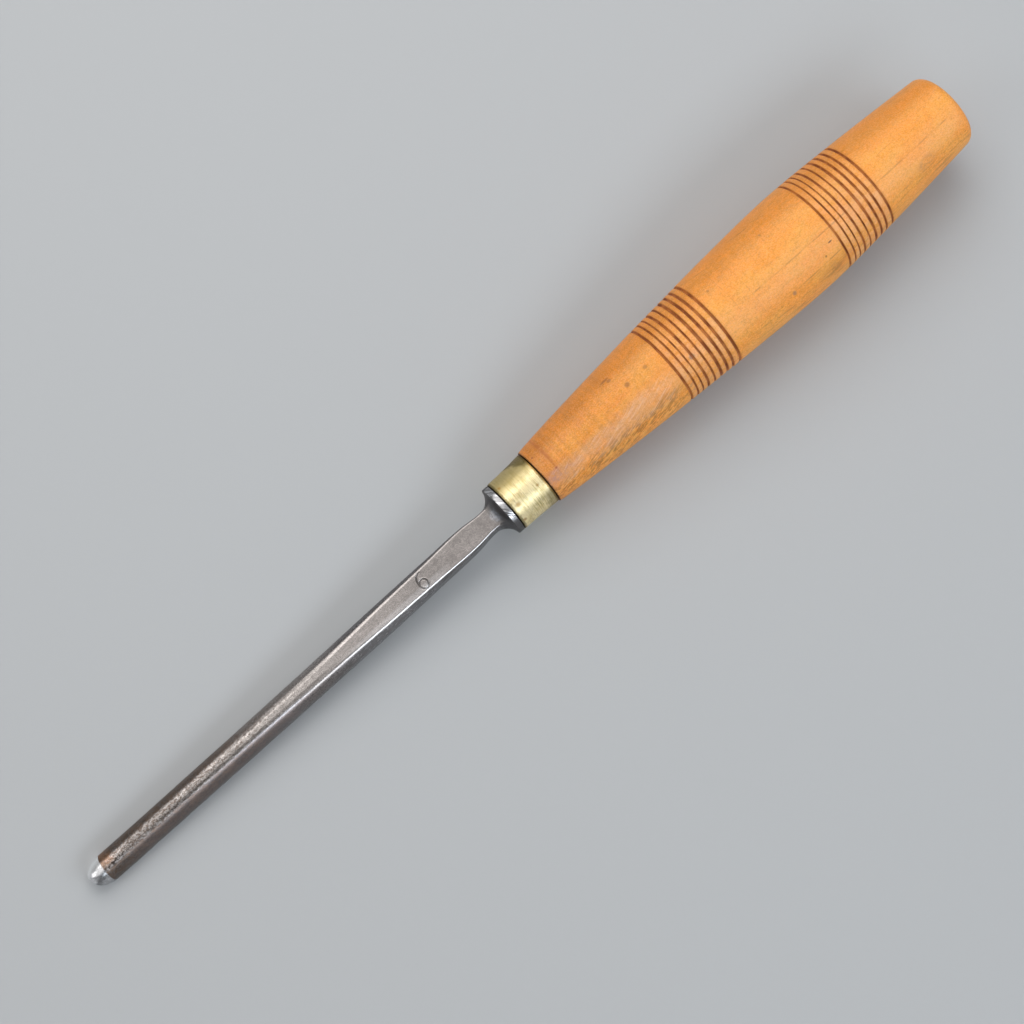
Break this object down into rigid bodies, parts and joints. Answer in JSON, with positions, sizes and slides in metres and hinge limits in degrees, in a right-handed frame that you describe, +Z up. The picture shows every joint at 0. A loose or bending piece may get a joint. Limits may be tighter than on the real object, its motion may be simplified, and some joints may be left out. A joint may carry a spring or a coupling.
{
  "type": "u gouge",
  "caption": "Straight carving gouge with a U-shaped channel, round bolster, brass ferrule and a turned wooden handle with burnt grooves, lying channel down.",
  "frame": {"origin": "on the bench surface, below the middle of the tool as it lies channel down", "axes": "+X along the tool from cutting edge to butt, +Y across it, +Z up from the bench; the tool's own axis rises towards the butt by 2.75 degrees, because it rests on the lips of the nose and on the belly of the handle"},
  "size_m": [0.2481, 0.0236, 0.024],
  "materials": {
    "tool_steel": "worn forged steel with brown patina, bright bevel",
    "brass": "turned brass, lightly tarnished",
    "boxwood": "oiled boxwood with worn patches and burnt grooves"
  },
  "bodies": {
    "root": {"blade": "tool_steel", "ferrule": "brass", "handle": "boxwood"}
  },
  "joints": []
}
